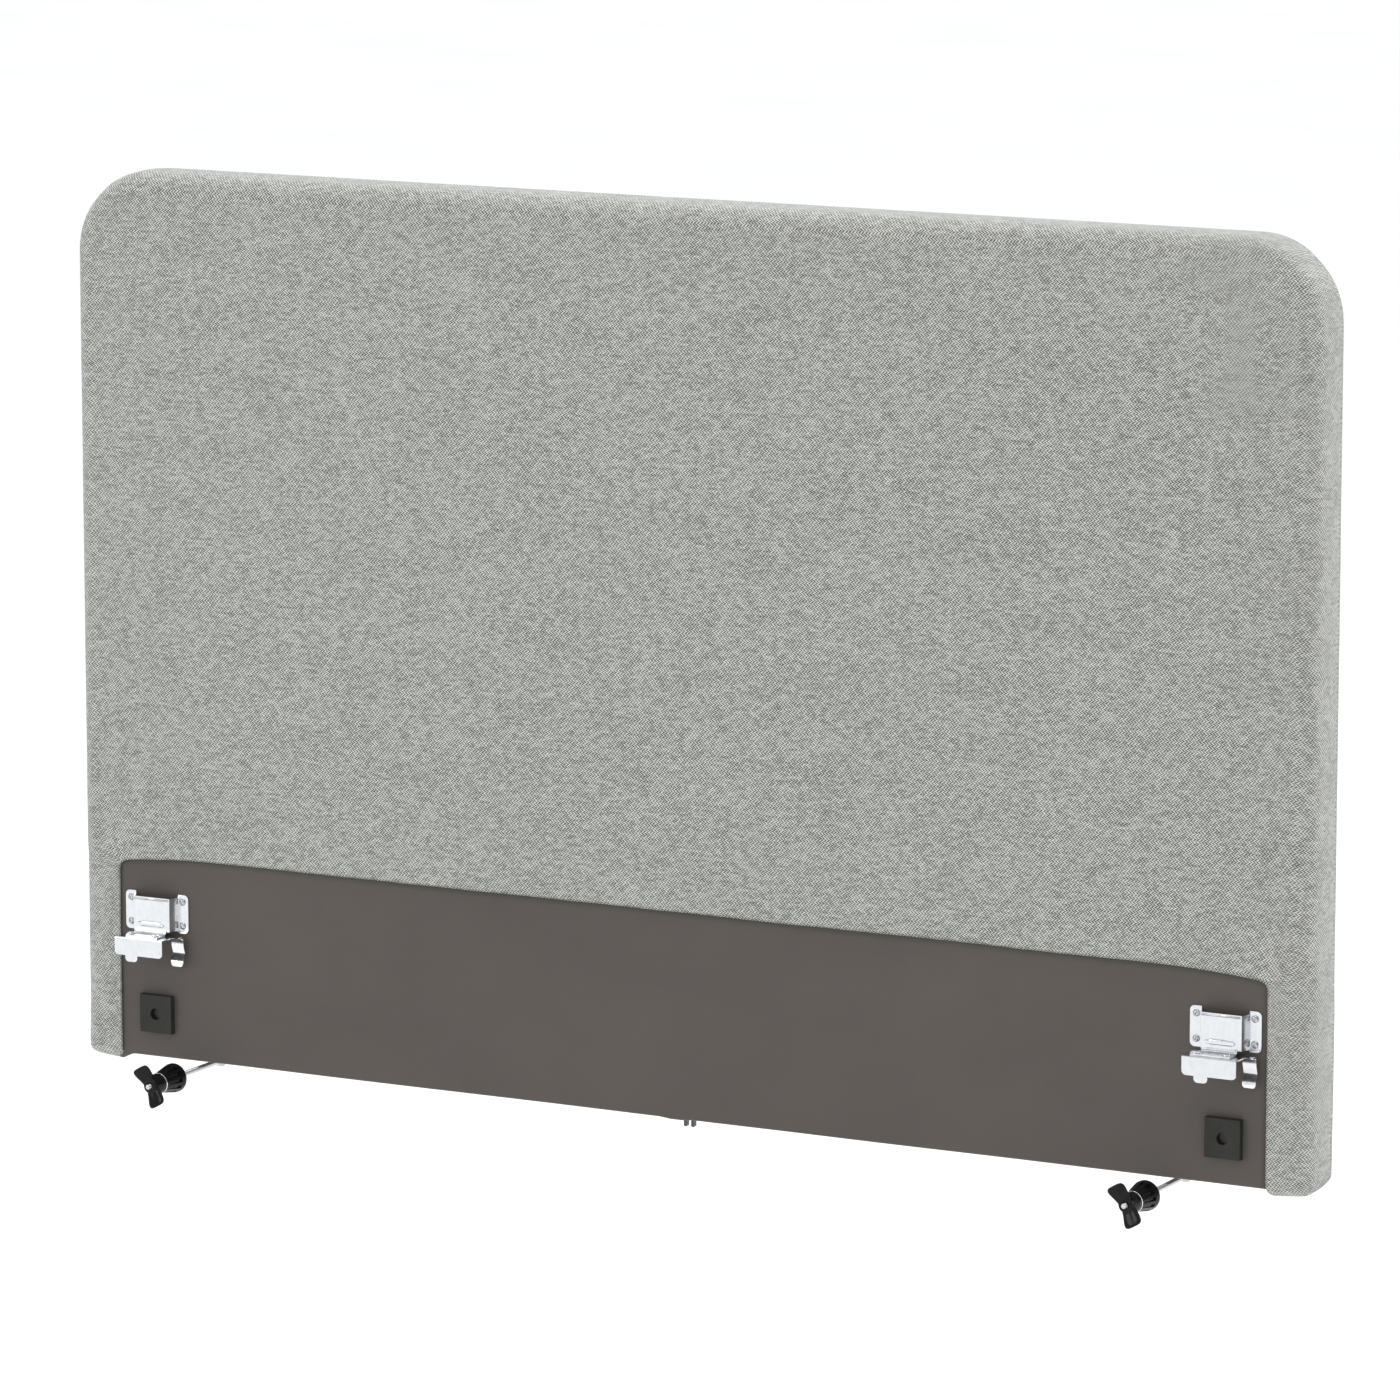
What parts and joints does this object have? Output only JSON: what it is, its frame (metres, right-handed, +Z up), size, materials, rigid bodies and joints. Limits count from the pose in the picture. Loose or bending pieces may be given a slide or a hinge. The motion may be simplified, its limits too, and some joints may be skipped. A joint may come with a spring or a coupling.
{
  "type": "upholstered privacy panel",
  "caption": "Wide upholstered upright panel with rounded top corners, a dark lined strip at its foot, hook brackets, rubber pads and wing-nut screw clamps for fixing to a rail.",
  "frame": {"origin": "mid width, on the plane of the lining, level with the underside of the two hook shelves, where the panel sits on its rail", "axes": "+X along the panel to the right as seen from the lined side, +Y into the panel away from that side, +Z up"},
  "size_m": [1.509, 0.171, 1.0309],
  "materials": {
    "timber": "sawn softwood",
    "hardboard": "smooth hardboard",
    "plywood": "sanded plywood",
    "foam": "open cell foam",
    "cover_fabric": "woven melange",
    "lining_fabric": "fine woven, matte",
    "zip_tape": "woven tape",
    "zip_chain": "moulded coil",
    "zip_metal": "satin",
    "rubber": "matte",
    "black_plastic": "gloss",
    "brass": "turned",
    "spring_steel": "bright zinc",
    "bright_steel": "polished",
    "screw_steel": "bright zinc",
    "rod_steel": "zinc plated",
    "zinc_sheet": "bright zinc"
  },
  "bodies": {
    "panel": {"back_board": "hardboard", "back_foam": "foam", "base_lining": "lining_fabric", "corner_blocks": "timber", "edge_foam": "foam", "fabric_cover": "cover_fabric", "frame_bottom_rail": "timber", "frame_centre_post": "timber", "frame_left_stile": "timber", "frame_mid_rail": "timber", "frame_right_stile": "timber", "frame_screws": "screw_steel", "frame_top_rail": "timber", "front_board": "hardboard", "front_foam": "foam", "left_anchor_screws": "screw_steel", "left_border_foam": "foam", "left_bracket": "zinc_sheet", "left_bracket_screws": "screw_steel", "left_buffer_pad": "rubber", "left_clamp_rod": "rod_steel", "left_hook_plate": "zinc_sheet", "left_hook_rivets": "zinc_sheet", "left_rod_anchor": "rod_steel", "left_rod_nuts": "rod_steel", "left_zip_chain": "zip_chain", "lower_lining": "lining_fabric", "mounting_board": "plywood", "right_anchor_screws": "screw_steel", "right_border_foam": "foam", "right_bracket": "zinc_sheet", "right_bracket_screws": "screw_steel", "right_buffer_pad": "rubber", "right_clamp_rod": "rod_steel", "right_hook_plate": "zinc_sheet", "right_hook_rivets": "zinc_sheet", "right_rod_anchor": "rod_steel", "right_rod_nuts": "rod_steel", "right_zip_chain": "zip_chain", "zip_tapes": "zip_tape"},
    "left_finger": {"left_spring_finger": "spring_steel"},
    "left_carriage": {"left_cone_pad": "black_plastic", "left_thrust_washer": "bright_steel"},
    "left_wing": {"left_wing_nut": "black_plastic", "left_nut_insert": "brass"},
    "left_slider": {"left_zip_slider": "zip_metal"},
    "left_pull": {"left_zip_pull": "zip_metal"},
    "right_finger": {"right_spring_finger": "spring_steel"},
    "right_carriage": {"right_cone_pad": "black_plastic", "right_thrust_washer": "bright_steel"},
    "right_wing": {"right_wing_nut": "black_plastic", "right_nut_insert": "brass"},
    "right_slider": {"right_zip_slider": "zip_metal"},
    "right_pull": {"right_zip_pull": "zip_metal"}
  },
  "joints": [
    {"name": "left_finger_spring", "type": "hinge", "parent": "panel", "child": "left_finger", "pos_m": [-0.6256, -0.0115, 0.00075], "axis": [-1, 0, 0], "range_deg": [0, 8], "stiffness_Nm_per_rad": 0.4},
    {"name": "left_clamp_slide", "type": "slide", "parent": "panel", "child": "left_carriage", "axis": [0, 1, 0], "range_m": [0, 0.0359]},
    {"name": "left_wing_turn", "type": "hinge", "parent": "left_carriage", "child": "left_wing", "pos_m": [-0.608, -0.093, -0.1505], "axis": [0, 1, 0], "range_deg": [0, 12960]},
    {"name": "left_zip_slide", "type": "slide", "parent": "panel", "child": "left_slider", "axis": [-1, 0, 0], "range_m": [0, 0.52]},
    {"name": "left_pull_swing", "type": "hinge", "parent": "left_slider", "child": "left_pull", "pos_m": [-0.0015, 0.034, -0.1465], "axis": [0, 1, 0], "range_deg": [-12, 70]},
    {"name": "right_finger_spring", "type": "hinge", "parent": "panel", "child": "right_finger", "pos_m": [0.6876, -0.0115, 0.00075], "axis": [-1, 0, 0], "range_deg": [0, 8], "stiffness_Nm_per_rad": 0.4},
    {"name": "right_clamp_slide", "type": "slide", "parent": "panel", "child": "right_carriage", "axis": [0, 1, 0], "range_m": [0, 0.0359]},
    {"name": "right_wing_turn", "type": "hinge", "parent": "right_carriage", "child": "right_wing", "pos_m": [0.588, -0.093, -0.1505], "axis": [0, 1, 0], "range_deg": [0, 12960]},
    {"name": "right_zip_slide", "type": "slide", "parent": "panel", "child": "right_slider", "axis": [1, 0, 0], "range_m": [0, 0.52]},
    {"name": "right_pull_swing", "type": "hinge", "parent": "right_slider", "child": "right_pull", "pos_m": [0.0075, 0.034, -0.1465], "axis": [0, 1, 0], "range_deg": [-70, 12]}
  ],
  "couplings": [
    {"joint": "left_wing_turn", "follows": "left_clamp_slide", "rad_per_m": 6283.2},
    {"joint": "right_wing_turn", "follows": "right_clamp_slide", "rad_per_m": 6283.2}
  ]
}
